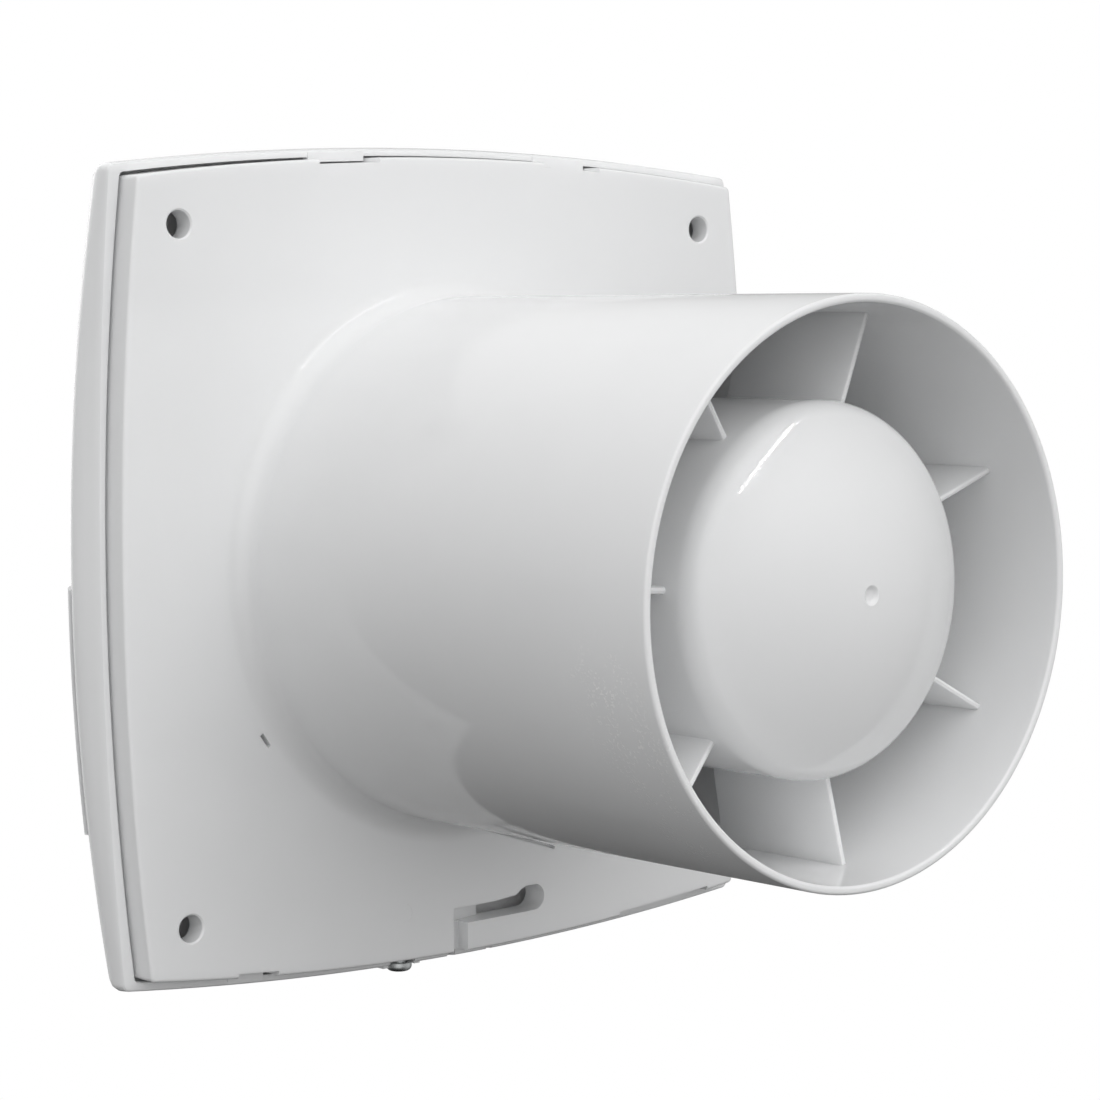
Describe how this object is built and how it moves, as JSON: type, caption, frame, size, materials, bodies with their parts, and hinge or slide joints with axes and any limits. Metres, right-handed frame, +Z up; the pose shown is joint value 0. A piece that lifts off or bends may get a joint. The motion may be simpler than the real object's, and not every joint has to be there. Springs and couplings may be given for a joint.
{
  "type": "bathroom extractor fan",
  "caption": "White axial bathroom extractor fan with a bowed square front, a duct spigot and a motor cup on guide vanes.",
  "frame": {"origin": "on the fan's axis, in the plane of the back plate's wall face", "axes": "+Y along the fan's axis into the wall and duct, +Z up, +X completes a right-handed frame; the front panel faces -Y"},
  "size_m": [0.159, 0.1309, 0.1557],
  "materials": {
    "white_abs": "glossy white ABS moulding",
    "fascia_abs": "high gloss white ABS",
    "impeller_abs": "satin white ABS",
    "steel": "satin",
    "zinc": "bright zinc plate",
    "laminations": "stacked laminations",
    "copper": "enamelled copper wire",
    "bronze": "sintered bronze",
    "brass": "turned brass",
    "bobbin_nylon": "black nylon",
    "terminal_nylon": "natural nylon",
    "fibre": "vulcanised fibre"
  },
  "bodies": {
    "casing": {"rear_casing": "white_abs", "motor_mount": "white_abs", "front_frame": "white_abs", "stator_core": "laminations", "front_bearing": "bronze", "rear_bearing": "bronze", "front_bracket": "steel", "rear_bracket": "steel", "coil_1": "copper", "coil_bobbin_1": "bobbin_nylon", "coil_2": "copper", "coil_bobbin_2": "bobbin_nylon", "coil_3": "copper", "coil_bobbin_3": "bobbin_nylon", "coil_4": "copper", "coil_bobbin_4": "bobbin_nylon", "motor_bolt_1": "zinc", "clamp_screw_1": "zinc", "motor_bolt_2": "zinc", "clamp_screw_2": "zinc", "terminal_block": "terminal_nylon", "cable_clamp": "terminal_nylon", "terminal_screw_1": "brass", "terminal_screw_2": "brass", "terminal_screw_3": "brass", "terminal_screw_4": "brass", "cover_screw": "zinc"},
    "rotor": {"impeller": "impeller_abs", "shaft": "steel", "push_on_clip": "zinc", "rotor_core": "laminations", "front_thrust_washer": "fibre", "rear_thrust_washer": "fibre"},
    "fascia": {"fascia_panel": "fascia_abs"}
  },
  "joints": [
    {"name": "rotor_spin", "type": "hinge", "parent": "casing", "child": "rotor", "pos_m": [0, 0, 0], "axis": [0, 1, 0], "continuous": true},
    {"name": "fascia_pull", "type": "slide", "parent": "casing", "child": "fascia", "axis": [0, -1, 0], "range_m": [0, 0.03]}
  ]
}
